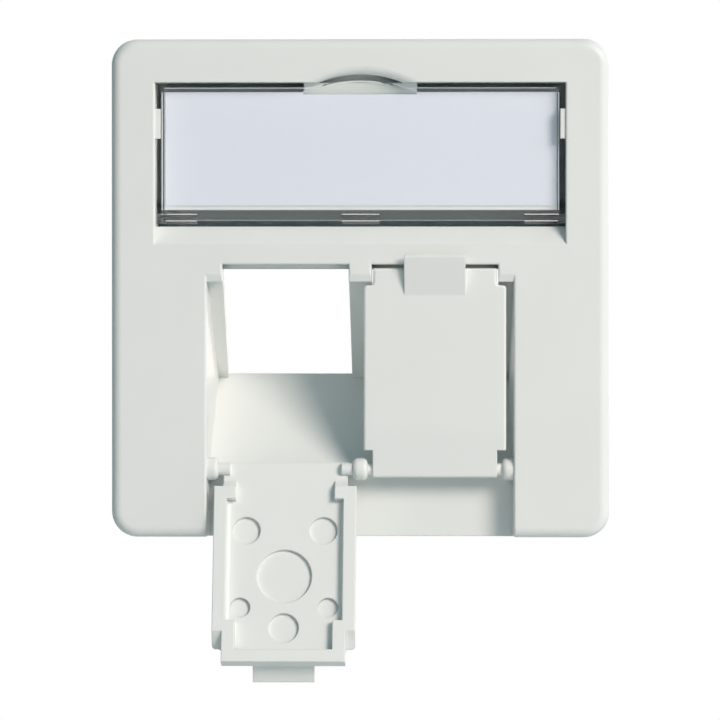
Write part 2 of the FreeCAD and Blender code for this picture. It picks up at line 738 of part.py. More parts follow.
def cut_flap_corners(body):
    """Notches that clear the lugs at the hinge and the plate's corner blocks at the free end."""
    notch = new_sketch(body, "flap_notches", "XZ_Plane")
    outside = "flap_width / 2 + cut_margin"
    rectangle(notch, "flap_hinge_width / 2", outside, "-flap_heel - cut_margin", FLAP_SHOULDER)
    rectangle(notch, "flap_end_width / 2", outside, FLAP_BODY_TOP, "flap_length + cut_margin")
    notch_cut = pocket(notch, "4 * flap_thickness", "both")
    mirror(body, "far_notches", [notch_cut])
    round_flap_corners(body)
    slope = new_sketch(body, "flap_corner_slope", "YZ_Plane", outside)
    polygon(slope, [
        (FLAP_BACK, f"{FLAP_BODY_TOP} - flap_corner_chamfer"),
        (f"{FLAP_BACK} + cut_margin", f"{FLAP_BODY_TOP} - flap_corner_chamfer - cut_margin"),
        (f"{FLAP_BACK} + cut_margin", f"{FLAP_BODY_TOP} + flap_notch_rounding"),
        (f"{FLAP_BACK} - flap_corner_chamfer", f"{FLAP_BODY_TOP} + flap_notch_rounding"),
        (f"{FLAP_BACK} - flap_corner_chamfer", FLAP_BODY_TOP),
    ])
    slope_cut = pocket(slope, "(flap_width - flap_end_width) / 2 + cut_margin")
    mirror(body, "far_slopes", [slope_cut])
    front = size("flap_setback") - size("hinge_depth")

    def front_edge(edge):
        box = edge.BoundBox
        above_bend = box.ZMax > size("flap_length") / 2
        upright = not near(box.ZMin, box.ZMax)
        return flat_in(edge, "Y", front) and (upright or above_bend)

    dress("Fillet", body, "flap_front_edges", "flap_edge_rounding", front_edge)


def round_flap_corners(body):
    """Rounded corners beside the free end: the notches' inner ones, then the shoulders' outer ones."""
    body_top = size("flap_length") - size("flap_end_length")

    def corner_at(edge, width):
        middle = edge.BoundBox.Center
        at_corner = near(abs(middle.x), size(width) / 2) and near(middle.z, body_top)
        return runs_along(edge, Vector(0, 1, 0)) and at_corner

    dress("Fillet", body, "flap_notch_corners", "flap_notch_rounding",
          lambda e: corner_at(e, "flap_end_width"))
    dress("Fillet", body, "flap_corners", "flap_corner_rounding", lambda e: corner_at(e, "flap_width"))


def cut_flap_tray(body):
    """Shallow tray in the inner face, open at the hinge, with round moulding marks in its floor."""
    tray = new_sketch(body, "flap_tray", "XZ_Plane", f"-{FLAP_BACK}")
    neck = "(flap_hinge_width / 2 - tray_rim)"
    main = "(flap_width / 2 - tray_rim)"
    end = "(flap_end_width / 2 - tray_rim)"
    end_high = "flap_length - tray_rim"
    main_high = f"{end_high} - tray_end_length"
    right = [(neck, "-flap_heel - cut_margin"), (neck, "tray_shoulder"), (main, "tray_shoulder"),
             (main, main_high), (end, main_high), (end, end_high)]
    left = [("-" + across, up) for across, up in reversed(right)]
    polygon(tray, right + left)
    pocket(tray, "tray_depth", "forward")
    floor = size("flap_setback") - size("hinge_depth") + size("flap_thickness") - size("tray_depth")
    wall = size("flap_width") / 2 - size("tray_rim")
    dress("Fillet", body, "tray_coves", "tray_cove",
          lambda e: flat_in(e, "Y", floor) and near(abs(e.BoundBox.Center.x), wall))
    marks = new_sketch(body, "flap_marks", "XZ_Plane", f"tray_depth - {FLAP_BACK}")
    for pair in ("upper_marks", "lower_marks"):
        for side in ("", "-"):
            circle(marks, f"{side}({main} - {pair}_inset)", f"{pair}_rise", f"{pair}_radius")
    for mark in ("middle_mark", "end_mark"):
        circle(marks, "0", f"{mark}_rise", f"{mark}_radius")
    pocket(marks, "mark_depth", "forward")


def add_flap_tab(body):
    """Pry tab: a wedge that flares out in front of the plate above the port."""
    tab = new_sketch(body, "tab_section", "YZ_Plane")
    tip = "flap_length + tab_overhang"
    polygon(tab, [
        (FLAP_FRONT, "flap_length - tab_root"),
        (f"{FLAP_FRONT} - tab_rise", tip),
        (f"{FLAP_FRONT} - tab_rise + tab_tip", tip),
        (FLAP_FRONT, "flap_length"),
        (f"{FLAP_FRONT} + flap_thickness / 4", "flap_length"),
        (f"{FLAP_FRONT} + flap_thickness / 4", "flap_length - tab_root"),
    ])
    pad(tab, "tab_width", "both")
    tip_height = size("flap_length") + size("tab_overhang")
    tip_front = size("flap_setback") - size("hinge_depth") - size("tab_rise")
    dress("Fillet", body, "tab_tip", "tab_rounding",
          lambda e: flat_in(e, "Z", tip_height) and flat_in(e, "Y", tip_front))


def add_flap_pins(body):
    """A stub pin at each hinge corner, which turns in its lug."""
    inside = "(flap_hinge_width / 2 - tray_rim / 2)"
    pin = new_sketch(body, "stub_pin", "YZ_Plane", inside)
    circle(pin, "0", "0", "pin_radius")
    lug_face = "(port_pitch / 2 - middle_lug_width / 2)"
    pin_pad = pad(pin, f"{lug_face} + pin_reach - {inside}")
    mirror(body, "far_pin", [pin_pad])


def make_fixing_screw():
    """Slotted countersunk screw, turned about its own axis."""
    body = new_body("fixing_screw")
    turned = new_sketch(body, "screw_section", "YZ_Plane", "0", "screw_height")
    top = "(field_depth + screw_sink)"
    edge = f"({top} + screw_head_edge)"
    tip = f"({top} + screw_length)"
    polygon(turned, [
        side_cut(top, "0"),
        side_cut(top, "screw_head_radius"),
        side_cut(edge, "screw_head_radius"),
        side_cut(f"{edge} + screw_head_radius - screw_neck_radius", "screw_neck_radius"),
        side_cut("rim_depth + screw_neck_end", "screw_neck_radius"),
        side_cut("rim_depth + screw_neck_end", "screw_radius"),
        side_cut(f"{tip} - screw_tip_chamfer", "screw_radius"),
        side_cut(tip, "screw_radius - screw_tip_chamfer"),
        side_cut(tip, "0"),
    ])
    revolve("Revolution", turned)
    slot = front_sketch(body, "screw_slot", top)
    half_slot = "screw_slot_width / 2"
    wide = "screw_head_radius + cut_margin"
    rectangle(slot, f"-({wide})", wide, f"screw_height - {half_slot}", f"screw_height + {half_slot}")
    pocket(slot, "screw_slot_depth")
    return body


parts = [
    make_cover_plate(),
    make_label_strip(),
    make_label_window(),
    make_flap("left_dust_flap", "-1", "open_angle"),
    make_flap("right_dust_flap", "1", "0"),
    make_fixing_screw(),
]
doc.recompute()

for item in doc.Objects:
    if "Invalid" in item.State or "Error" in item.State:
        raise RuntimeError(f"{item.Label} failed: {item.State}")
for part in parts:
    if part.Shape.isNull() or not part.Shape.isValid() or len(part.Shape.Solids) != 1:
        raise RuntimeError(f"{part.Label} is not one valid solid")

os.makedirs("parts", exist_ok=True)
for part in parts:
    part.Shape.exportStep(f"parts/{part.Label}.step")
    print(part.Label, round(part.Shape.Volume, 2), "mm3", part.Shape.BoundBox)
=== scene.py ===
# %% [markdown]
# # A central cover plate for two slanted data outlets
#
# The plate is 50 mm square. A paper label lies behind a clear window at the top, and two ports
# lean back by 45 degrees below it, each with a hinged dust flap: the left one hangs open, the
# right one is shut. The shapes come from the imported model, which is the fixed frame of this
# scene. What is made here is the view, the light, the finish of every surface and the screw's
# thread.

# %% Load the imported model
import math

import bmesh
import bpy
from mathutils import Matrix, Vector


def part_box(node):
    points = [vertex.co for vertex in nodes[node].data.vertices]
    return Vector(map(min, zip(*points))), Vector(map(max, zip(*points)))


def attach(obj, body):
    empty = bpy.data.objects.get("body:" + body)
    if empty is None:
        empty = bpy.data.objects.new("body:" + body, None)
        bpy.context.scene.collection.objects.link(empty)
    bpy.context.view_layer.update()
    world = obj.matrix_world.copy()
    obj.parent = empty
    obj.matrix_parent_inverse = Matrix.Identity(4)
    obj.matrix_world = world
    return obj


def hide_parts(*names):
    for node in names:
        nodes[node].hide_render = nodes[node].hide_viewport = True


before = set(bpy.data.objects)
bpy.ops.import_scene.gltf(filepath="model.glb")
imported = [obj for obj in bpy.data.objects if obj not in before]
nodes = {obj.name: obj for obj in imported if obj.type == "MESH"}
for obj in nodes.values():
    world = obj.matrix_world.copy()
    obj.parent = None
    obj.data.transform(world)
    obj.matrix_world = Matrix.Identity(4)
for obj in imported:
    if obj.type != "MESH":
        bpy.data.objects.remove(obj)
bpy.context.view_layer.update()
scene = bpy.context.scene
MM = 0.001
print("nodes:", ", ".join(sorted(nodes)))

# %% [markdown]
# The photograph is taken almost straight on with a long lens: the plate's sides stay parallel,
# and only a little of the scoop's left wall shows. A long focal length from half a metre gives
# that. The camera could be turned down to take in the hanging flap, but then the plate's upright
# edges would lean together, so it is aimed almost level, a little below the plate's middle.

# %% Camera
DISTANCE = 560 * MM
FRAME_WIDTH = 72.2 * MM
AIM_HEIGHT = -7.19 * MM
YAW = math.radians(1.8)
PITCH = math.radians(1.0)
SENSOR_WIDTH = 36.0
CLIP_START, CLIP_END = 50 * MM, 10000 * MM
front_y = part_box("cover_plate")[0].y
aim = Vector((0.0, front_y, AIM_HEIGHT))

lens = bpy.data.cameras.new("photo_camera")
lens.sensor_width = SENSOR_WIDTH
lens.lens = SENSOR_WIDTH * DISTANCE / FRAME_WIDTH
lens.clip_start = CLIP_START
lens.clip_end = CLIP_END
camera = bpy.data.objects.new("photo_camera", lens)
scene.collection.objects.link(camera)
towards_camera = Vector((
    math.sin(YAW) * math.cos(PITCH),
    -math.cos(YAW) * math.cos(PITCH),
    math.sin(PITCH),
))
camera.location = aim + DISTANCE * towards_camera
camera.rotation_mode = "QUATERNION"
camera.rotation_quaternion = (-towards_camera).to_track_quat("-Z", "Y")
scene.camera = camera
print(f"lens {lens.lens:.0f} mm at {DISTANCE / MM:.0f} mm")

# %% [markdown]
# One large soft box stands to the upper right, in front of the plate. Its size sets how fast the
# shadow in the left scoop turns soft. A weaker one stands low behind the plate, so that the back
# is lit in the other views and hardly any of its light comes round to the front. Small lamps would
# do for brightness, but they draw hard shadows, which the photograph doesn't have.

# %% Soft boxes
FRONT_DIRECTION = Vector((0.82, -1.0, 0.62)).normalized()
FRONT_POWER = 6.3
BACK_DIRECTION = Vector((0.5, 1.0, 0.2)).normalized()
BACK_POWER = 2.0
BOX_DISTANCE = 900 * MM
BOX_SIZE = 390 * MM
BOX_COLOUR = (1.0, 0.88, 0.81)


def add_soft_box(name, direction, power):
    """A round area lamp that faces the plate."""
    lamp = bpy.data.lights.new(name, "AREA")
    lamp.shape = "DISK"
    lamp.size = BOX_SIZE
    lamp.energy = power
    lamp.color = BOX_COLOUR
    stand = bpy.data.objects.new(name, lamp)
    scene.collection.objects.link(stand)
    stand.location = direction * BOX_DISTANCE
    stand.rotation_mode = "QUATERNION"
    stand.rotation_quaternion = (-direction).to_track_quat("-Z", "Y")


add_soft_box("front_soft_box", FRONT_DIRECTION, FRONT_POWER)
add_soft_box("back_soft_box", BACK_DIRECTION, BACK_POWER)
print(f"soft boxes {BOX_SIZE / MM:.0f} mm wide at {BOX_DISTANCE / MM:.0f} mm")

# %% [markdown]
# The surround and every finish below are small networks of nodes. The same few moves come up again
# and again: a node is placed and set, a value is carried from one range to another, values are
# reckoned together, and two colours or two shaders are mixed by a mask. Each could be written out
# every time, but as a helper it takes one line and reads as what it does.

# %% Node helpers
def add(tree, kind, **settings):
    """A node with its properties set; names that are inputs set those instead."""
    node = tree.nodes.new(kind)
    for label, value in settings.items():
        if label in node.inputs:
            node.inputs[label].default_value = value
        else:
            setattr(node, label, value)
    return node


def feed(tree, source, socket):
    """Link a node's output to a socket, or set the socket to a number or a colour."""
    if isinstance(source, bpy.types.NodeSocket):
        tree.links.new(source, socket)
    else:
        socket.default_value = (*source, 1.0) if isinstance(source, tuple) else source


def remap(tree, value, start=0.0, end=1.0, low=0.0, high=1.0):
    """The value carried from start..end to low..high and held at the ends."""
    node = add(tree, "ShaderNodeMapRange")
    feed(tree, value, node.inputs["Value"])
    feed(tree, start, node.inputs["From Min"])
    feed(tree, end, node.inputs["From Max"])
    feed(tree, low, node.inputs["To Min"])
    feed(tree, high, node.inputs["To Max"])
    return node.outputs["Result"]


def reckon(tree, operation, *values):
    """The result of one Math node on two or three values."""
    node = add(tree, "ShaderNodeMath", operation=operation)
    for value, socket in zip(values, node.inputs):
        feed(tree, value, socket)
    return node.outputs["Value"]


def blend(tree, mask, first, second):
    """Two colours mixed by a mask."""
    node = add(tree, "ShaderNodeMix", data_type="RGBA")
    feed(tree, mask, node.inputs["Factor"])
    feed(tree, first, node.inputs["A"])
    feed(tree, second, node.inputs["B"])
    return node.outputs["Result"]


def choose(tree, mask, first, second):
    """Two shaders mixed by a mask."""
    node = add(tree, "ShaderNodeMixShader")
    feed(tree, mask, node.inputs["Fac"])
    tree.links.new(first, node.inputs[1])
    tree.links.new(second, node.inputs[2])
    return node.outputs["Shader"]


print("helpers:", ", ".join(h.__name__ for h in (add, feed, remap, reckon, blend, choose)))

# %% [markdown]
# Everything round the plate is pale and slightly cool, and that is what fills the shadows. It is
# lighter on the front soft box's side, as a room with one window is. A lamp for the fill would
# leave marks in the gloss, so the world does that job, and rays that look straight past the object
# find plain white. Only rays that no matt surface has scattered yet find that white, so it shows
# in the gloss and through the window but adds no light to the shadows.

# %% Surround
FILL_DARK = (0.02, 0.05, 0.06)
FILL_LIGHT = (0.255, 0.42, 0.48)
FILL_SIDE = Vector((0.75, 0.0, 0.50)).normalized()
DARK_SIDE, LIGHT_SIDE = -0.5, 1.0
PLAIN_WHITE = (1.0, 1.0, 1.0)
BEFORE_SCATTER = 0.5
world = bpy.data.worlds.new("pale_surround")
scene.world = world
world.use_nodes = True
sky = world.node_tree
sky.nodes.clear()

looking = add(sky, "ShaderNodeTexCoord")
towards = add(sky, "ShaderNodeVectorMath", operation="DOT_PRODUCT")
towards.inputs[1].default_value = FILL_SIDE
sky.links.new(looking.outputs["Generated"], towards.inputs[0])
lighter = remap(sky, towards.outputs["Value"], DARK_SIDE, LIGHT_SIDE)
fill = add(sky, "ShaderNodeBackground")
feed(sky, blend(sky, lighter, FILL_DARK, FILL_LIGHT), fill.inputs["Color"])

white = add(sky, "ShaderNodeBackground")
feed(sky, PLAIN_WHITE, white.inputs["Color"])
path = add(sky, "ShaderNodeLightPath")
seen = reckon(sky, "MAXIMUM", path.outputs["Is Camera Ray"], path.outputs["Is Glossy Ray"])
seen_through = reckon(sky, "MAXIMUM", seen, path.outputs["Is Transmission Ray"])
first_look = reckon(sky, "LESS_THAN", path.outputs["Diffuse Depth"], BEFORE_SCATTER)
backdrop = reckon(sky, "MULTIPLY", seen_through, first_look)
background = choose(sky, backdrop, fill.outputs["Background"], white.outputs["Background"])
surround = add(sky, "ShaderNodeOutputWorld")
sky.links.new(background, surround.inputs["Surface"])
scene.view_settings.view_transform = "Standard"
print("surround", world.name, "has", len(sky.nodes), "nodes")

# %% [markdown]
# The floor is a plain pale sheet under the plate. It lies below the frame of the photograph, so it
# only shows in the other views, where it takes the soft shadow. A curved backdrop would hide its
# far edge, but it would also stand in front of the back soft box.

# %% Floor
FLOOR_HEIGHT = -60 * MM
FLOOR_WIDTH, FLOOR_DEPTH = 800 * MM, 400 * MM
FLOOR_SHIFT = -60 * MM
HALF_METRE = 0.5
floor_mesh = bpy.data.meshes.new("floor")
shape = bmesh.new()
bmesh.ops.create_grid(shape, x_segments=1, y_segments=1, size=HALF_METRE)
bmesh.ops.scale(shape, vec=(FLOOR_WIDTH, FLOOR_DEPTH, 1.0), verts=shape.verts)
bmesh.ops.translate(shape, vec=(0.0, FLOOR_SHIFT, FLOOR_HEIGHT), verts=shape.verts)
shape.to_mesh(floor_mesh)
shape.free()
floor = bpy.data.objects.new("floor", floor_mesh)
scene.collection.objects.link(floor)
print("floor at", round(FLOOR_HEIGHT / MM, 1), "mm")

# %% [markdown]
# The mouldings share three effects, so each is a node group that is built once and placed in each
# material. The first is the skin of a moulded part: a fine spark grain, which goes to a bump, and a
# slow unevenness, which goes to the tone and the gloss. Both are far too small to model.

# %% Moulded skin
def new_group(name, inputs, outputs):
    """A shader node group with float inputs and the given outputs."""
    group = bpy.data.node_groups.new(name, "ShaderNodeTree")
    for label, value in inputs:
        socket = group.interface.new_socket(label, in_out="INPUT", socket_type="NodeSocketFloat")
        socket.default_value = value
    for label, kind in outputs:
        group.interface.new_socket(label, in_out="OUTPUT", socket_type=kind)
    return group, group.nodes.new("NodeGroupInput"), group.nodes.new("NodeGroupOutput")


skin, skin_in, skin_out = new_group(
    "moulded_skin",
    [("Grain Size", 9000.0), ("Cloud Size", 90.0)],
    [("Height", "NodeSocketFloat"), ("Tone", "NodeSocketFloat")],
)
where = add(skin, "ShaderNodeTexCoord")
grain = add(skin, "ShaderNodeTexNoise", Detail=3.0, Roughness=0.6)
clouds = add(skin, "ShaderNodeTexNoise", Detail=2.0, Roughness=0.5)
skin.links.new(where.outputs["Object"], grain.inputs["Vector"])
skin.links.new(where.outputs["Object"], clouds.inputs["Vector"])
skin.links.new(skin_in.outputs["Grain Size"], grain.inputs["Scale"])
skin.links.new(skin_in.outputs["Cloud Size"], clouds.inputs["Scale"])
skin.links.new(grain.outputs["Fac"], skin_out.inputs["Height"])
skin.links.new(clouds.outputs["Fac"], skin_out.inputs["Tone"])
print("group", skin.name)

# %% [markdown]
# The second effect is the soft edge that every moulded corner has. The large roundings are in the
# model. The smallest could be bevelled too, but on dozens of small edges that costs more faces than
# it shows, so this group only rounds the shading over a fraction of a millimetre. It also gives a
# mask of the corners, which the mouldings use for a painted highlight: the corners are painted a
# little lighter where the rounded normal leaves the flat one.

# %% Soft edge
FLAT_FACE, SHARP_CORNER = 1.0, 0.75
edge, edge_in, edge_out = new_group(
    "soft_edge",
    [("Radius", 0.2 * MM)],
    [("Normal", "NodeSocketVector"), ("Edge", "NodeSocketFloat")],
)
rounded = add(edge, "ShaderNodeBevel", samples=6)
flat = add(edge, "ShaderNodeNewGeometry")
agree = add(edge, "ShaderNodeVectorMath", operation="DOT_PRODUCT")
edge.links.new(edge_in.outputs["Radius"], rounded.inputs["Radius"])
edge.links.new(rounded.outputs["Normal"], agree.inputs[0])
edge.links.new(flat.outputs["Normal"], agree.inputs[1])
corner = remap(edge, agree.outputs["Value"], FLAT_FACE, SHARP_CORNER)
edge.links.new(rounded.outputs["Normal"], edge_out.inputs["Normal"])
edge.links.new(corner, edge_out.inputs["Edge"])
print("group", edge.name)

# %% [markdown]
# The third effect finds the deep grooves and paints shade into them: they are coloured darker and
# cooler than open faces, as shade would make them. It asks how much of the space just above a point
# is closed in by the same moulding. A mask drawn for one plate would do, but this one follows the
# shape. Only places below the label get this painted shade.

# %% Painted shade in deep grooves
OPEN_ENOUGH, CLOSED_IN = 0.45, 0.10
groove, groove_in, groove_out = new_group(
    "deep_groove",
    [("Reach", 3.0 * MM), ("Unshaded Above", 9.2 * MM), ("Shaded Below", 8.4 * MM)],
    [("Groove", "NodeSocketFloat")],
)
enclosed = add(groove, "ShaderNodeAmbientOcclusion", samples=8, only_local=True)
where = add(groove, "ShaderNodeTexCoord")
place = add(groove, "ShaderNodeSeparateXYZ")
groove.links.new(groove_in.outputs["Reach"], enclosed.inputs["Distance"])
groove.links.new(where.outputs["Object"], place.inputs["Vector"])
narrow = remap(groove, enclosed.outputs["AO"], OPEN_ENOUGH, CLOSED_IN)
unshaded_above, shaded_below = groove_in.outputs["Unshaded Above"], groove_in.outputs["Shaded Below"]
below = remap(groove, place.outputs["Z"], unshaded_above, shaded_below)
groove.links.new(reckon(groove, "MULTIPLY", narrow, below), groove_out.inputs["Groove"])
print("group", groove.name)

# %% [markdown]
# Every finish starts from a fresh material with one main shader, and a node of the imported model
# wears it in place of the plain colour that it came with. Both could be done by hand in the
# material tab for each piece, but two helpers do the same for all of them.

# %% Finish helpers
def new_material(name):
    """A material, its node tree and its main shader."""
    material = bpy.data.materials.new(name)
    material.use_nodes = True
    tree = material.node_tree
    return material, tree, tree.nodes["Principled BSDF"]


def dress(node, material):
    """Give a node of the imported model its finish."""
    mesh = nodes[node].data
    mesh.materials.clear()
    mesh.materials.append(material)
    print(node, "is", material.name)


print("helpers:", ", ".join(h.__name__ for h in (new_material, dress)))

# %% [markdown]
# The plate and its flaps are off-white moulded plastic with a satin skin. The colour wanders by a
# hair over the surface, and the corners carry a painted highlight that makes them a touch lighter. A
# single flat colour would look like plaster, and strong noise like stone, so both effects stay just
# above what the eye can name. Deep grooves below the label get painted shade.

# %% White moulding
# painted shade: the dark, cool colour that deep grooves below the label are mixed towards
GROOVE_PAINTED_SHADE = (0.10, 0.19, 0.22)
# how strongly the corner mask adds a painted highlight
CORNER_HIGHLIGHT_SHARE = 0.6
GLOSS_SPREAD = 0.05
GRAIN_STRENGTH = 0.35
GRAIN_DEPTH = 0.02 * MM


def white_moulding(name, colour, pale, roughness):
    """Satin white plastic: its colour, pale clouds, painted corner highlights, painted groove shade
    and gloss.
    """
    material, tree, plastic = new_material(name)
    plastic.inputs["IOR"].default_value = 1.5
    plastic.inputs["Specular IOR Level"].default_value = 0.3
    moulded = add(tree, "ShaderNodeGroup", node_tree=skin)
    soft = add(tree, "ShaderNodeGroup", node_tree=edge)
    deep = add(tree, "ShaderNodeGroup", node_tree=groove)
    tone = moulded.outputs["Tone"]
    # painted highlight on the corners, mixed with the random cloud tone
    tone_and_corner_highlight = reckon(tree, "MULTIPLY_ADD", soft.outputs["Edge"], CORNER_HIGHLIGHT_SHARE, tone)
    before_groove_shade = blend(tree, tone_and_corner_highlight, colour, pale)
    # painted shade in the deep grooves below the label
    groove_shaded = blend(tree, deep.outputs["Groove"], before_groove_shade, GROOVE_PAINTED_SHADE)
    gloss = remap(tree, tone, low=roughness - GLOSS_SPREAD, high=roughness + GLOSS_SPREAD)
    bump = add(tree, "ShaderNodeBump", Strength=GRAIN_STRENGTH, Distance=GRAIN_DEPTH)
    tree.links.new(groove_shaded, plastic.inputs["Base Color"])
    tree.links.new(gloss, plastic.inputs["Roughness"])
    tree.links.new(moulded.outputs["Height"], bump.inputs["Height"])
    tree.links.new(soft.outputs["Normal"], bump.inputs["Normal"])
    tree.links.new(bump.outputs["Normal"], plastic.inputs["Normal"])
    return material


plate_white = white_moulding("plate_white", (0.84, 0.855, 0.83), (0.89, 0.90, 0.88), 0.40)
flap_white = white_moulding("flap_white", (0.845, 0.86, 0.835), (0.89, 0.90, 0.88), 0.36)
dress("cover_plate", plate_white)
dress("left_dust_flap", flap_white)
dress("right_dust_flap", flap_white)

# %% [markdown]
# The label is a strip of plain paper. Its colour is a cool white, because paper is brightened, and
# fine fibres break up its surface. They are stretched noise: a woven or random line pattern would
# be too even.

# %% Label paper
PULP_SHADE, PULP_LIGHT = (0.82, 0.855, 0.955), (0.87, 0.895, 0.985)
PAPER_SMOOTH, PAPER_ROUGH = 0.70, 0.85
FIBRE_STRETCH = (0.35, 1.0, 1.0)
FIBRE_STRENGTH = 0.3
FIBRE_DEPTH = 0.02 * MM
paper, tree, sheet = new_material("label_paper")
where = add(tree, "ShaderNodeTexCoord")
stretched = add(tree, "ShaderNodeMapping", Scale=FIBRE_STRETCH)
fibre = add(tree, "ShaderNodeTexNoise", Scale=5200.0, Detail=4.0, Roughness=0.65)
press = add(tree, "ShaderNodeBump", Strength=FIBRE_STRENGTH, Distance=FIBRE_DEPTH)
tree.links.new(where.outputs["Object"], stretched.inputs["Vector"])
tree.links.new(stretched.outputs["Vector"], fibre.inputs["Vector"])
pulp = blend(tree, fibre.outputs["Fac"], PULP_SHADE, PULP_LIGHT)
tooth = remap(tree, fibre.outputs["Fac"], low=PAPER_SMOOTH, high=PAPER_ROUGH)
tree.links.new(pulp, sheet.inputs["Base Color"])
tree.links.new(tooth, sheet.inputs["Roughness"])
tree.links.new(fibre.outputs["Fac"], press.inputs["Height"])
tree.links.new(press.outputs["Normal"], sheet.inputs["Normal"])
dress("label_strip", paper)

# %% [markdown]
# The window is clear plastic a millimetre thick. Plain transparency would be the quick way, but real
# transmission bends the view of the label at the bevels. The pry lip at the top is thicker than the
# pane and leans out, and the shade that a curled lip would have is painted on: grey towards its foot
# and lighter towards its crest. The painting goes by place, because the lip stands further forward
# than the pane.

# %% Clear window
LIP_HEIGHT = 1.4 * MM
LIP_STAND = 0.3 * MM
PANE_TINT = (0.985, 0.99, 0.995)
# painted shade on the pry lip: grey at its foot, lighter at its crest
LIP_SHADE_FOOT, LIP_SHADE_CREST = (0.50, 0.57, 0.53), (0.93, 0.95, 0.94)
PANE_SMOOTH, PANE_ROUGH = 0.02, 0.10
clear, tree, pane = new_material("clear_plastic")
pane.inputs["IOR"].default_value = 1.49
pane.inputs["Specular IOR Level"].default_value = 0.15
pane.inputs["Transmission Weight"].default_value = 1.0
window_low, window_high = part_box("label_window")
where = add(tree, "ShaderNodeTexCoord")
place = add(tree, "ShaderNodeSeparateXYZ")
tree.links.new(where.outputs["Object"], place.inputs["Vector"])
lip_back = window_low.y + LIP_STAND
lip_foot = window_high.z - LIP_HEIGHT
forward = remap(tree, place.outputs["Y"], lip_back, window_low.y + LIP_STAND / 2)
rise = remap(tree, place.outputs["Z"], lip_foot, window_high.z)
# the lip's painted shade, graded by height
lip_painted_shade = blend(tree, rise, LIP_SHADE_FOOT, LIP_SHADE_CREST)
tree.links.new(blend(tree, forward, PANE_TINT, lip_painted_shade), pane.inputs["Base Color"])
moulded = add(tree, "ShaderNodeGroup", node_tree=skin)
haze = remap(tree, moulded.outputs["Tone"], low=PANE_SMOOTH, high=PANE_ROUGH)
tree.links.new(haze, pane.inputs["Roughness"])
print(f"lip from {lip_foot / MM:.2f} to {window_high.z / MM:.2f} mm")

# %% [markdown]
# Transmission has a price: it stops the soft box's light from reaching the label, because a
# renderer doesn't find that bent path by chance. A lamp behind the window could make up for it, but
# it would show. So rays that only ask whether a lamp is in sight pass straight through, and so do
# rays scattered by the paper, which would otherwise count the soft box twice.

# %% Light through the window
THROUGH_TINT = (0.98, 0.985, 0.985)
through = add(tree, "ShaderNodeBsdfTransparent")
feed(tree, THROUGH_TINT, through.inputs["Color"])
path = add(tree, "ShaderNodeLightPath")
shadow_ray, diffuse_ray = path.outputs["Is Shadow Ray"], path.outputs["Is Diffuse Ray"]
lighting = reckon(tree, "MAXIMUM", shadow_ray, diffuse_ray)
surface = choose(tree, lighting, pane.outputs["BSDF"], through.outputs["BSDF"])
tree.links.new(surface, tree.nodes["Material Output"].inputs["Surface"])
dress("label_window", clear)

# %% [markdown]
# The fixing screw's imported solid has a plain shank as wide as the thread, which is enough for what
# it does. Here the whole screw is made again with its thread. Some operators, such as a merged
# spin, leave their faces in another order each run, though the shape is the same. The faces could
# be made one by one instead, but sorting them by place is shorter, and every run then gives the
# same mesh.

# %% Screw axis and order
PLACE_DIGITS, TURN_DIGITS = 7, 5
screw_low, screw_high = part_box("fixing_screw")
screw_axis = Vector((0.0, 0.0, (screw_low.z + screw_high.z) / 2))


def corner_spots(item):
    """Where the corners of a face or an edge are, or where a corner is."""
    return [item.co] if isinstance(item, bmesh.types.BMVert) else [v.co for v in item.verts]


def place_on_screw(item):
    """Where the middle of an item is: along the screw, round it and out from it."""
    spots = corner_spots(item)
    middle = sum(spots, Vector()) / len(spots) - screw_axis
    turn = math.atan2(middle.x, middle.z)
    out = middle.xz.length
    return round(middle.y, PLACE_DIGITS), round(turn, TURN_DIGITS), round(out, PLACE_DIGITS)


def put_in_order(mesh):
    """Sort the corners, edges and faces of a bmesh by their places on the screw."""
    for items in (mesh.verts, mesh.edges, mesh.faces):
        for index, item in enumerate(sorted(items, key=place_on_screw)):
            item.index = index
        items.sort()


print(f"screw from {screw_low.y / MM:.2f} to {screw_high.y / MM:.2f} mm")

# %% [markdown]
# The screw's body has a countersunk head and a core with a tapered tip. Cones and a cylinder could
# be joined, but the body is round all along, so it is one outline, spun about the screw's axis.

# %% Screw body
HEAD_EDGE = 0.25 * MM
CORE_RADIUS = 1.2 * MM
TIP_TAPER = 0.3 * MM
ROUND_STEPS = 48
MERGE_DISTANCE = 0.0001 * MM
head_radius = (screw_high.z - screw_low.z) / 2
along = Vector((0.0, 1.0, 0.0))

shape = bmesh.new()
cone_end = screw_low.y + HEAD_EDGE + head_radius - CORE_RADIUS
outline = [
    (head_radius, screw_low.y),
    (head_radius, screw_low.y + HEAD_EDGE),
    (CORE_RADIUS, cone_end),
    (CORE_RADIUS, screw_high.y - TIP_TAPER),
    (CORE_RADIUS - TIP_TAPER, screw_high.y),
]
corners = [shape.verts.new((0.0, y, screw_axis.z + radius)) for radius, y in outline]
for near, far in zip(corners, corners[1:]):
    shape.edges.new((near, far))
bmesh.ops.spin(
    shape, geom=shape.verts[:] + shape.edges[:], cent=screw_axis, axis=along,
    angle=2 * math.pi, steps=ROUND_STEPS, use_merge=True,
)
bmesh.ops.remove_doubles(shape, verts=shape.verts, dist=MERGE_DISTANCE)
put_in_order(shape)
bmesh.ops.holes_fill(shape, edges=shape.edges, sides=ROUND_STEPS)
print("screw body", len(shape.faces), "faces")

# %% [markdown]
# The slot takes a flat screwdriver. It could be cut with a Boolean modifier, but the head's face is
# one flat face, so four cuts across it leave a rectangle in the middle, and that is extruded and
# pushed in.

# %% Screw slot
SLOT_HALF_WIDTH = 0.4 * MM
SLOT_HALF_LENGTH = 2.0 * MM
SLOT_DEPTH = 0.7 * MM
MIDDLE_REACH = 0.01 * MM


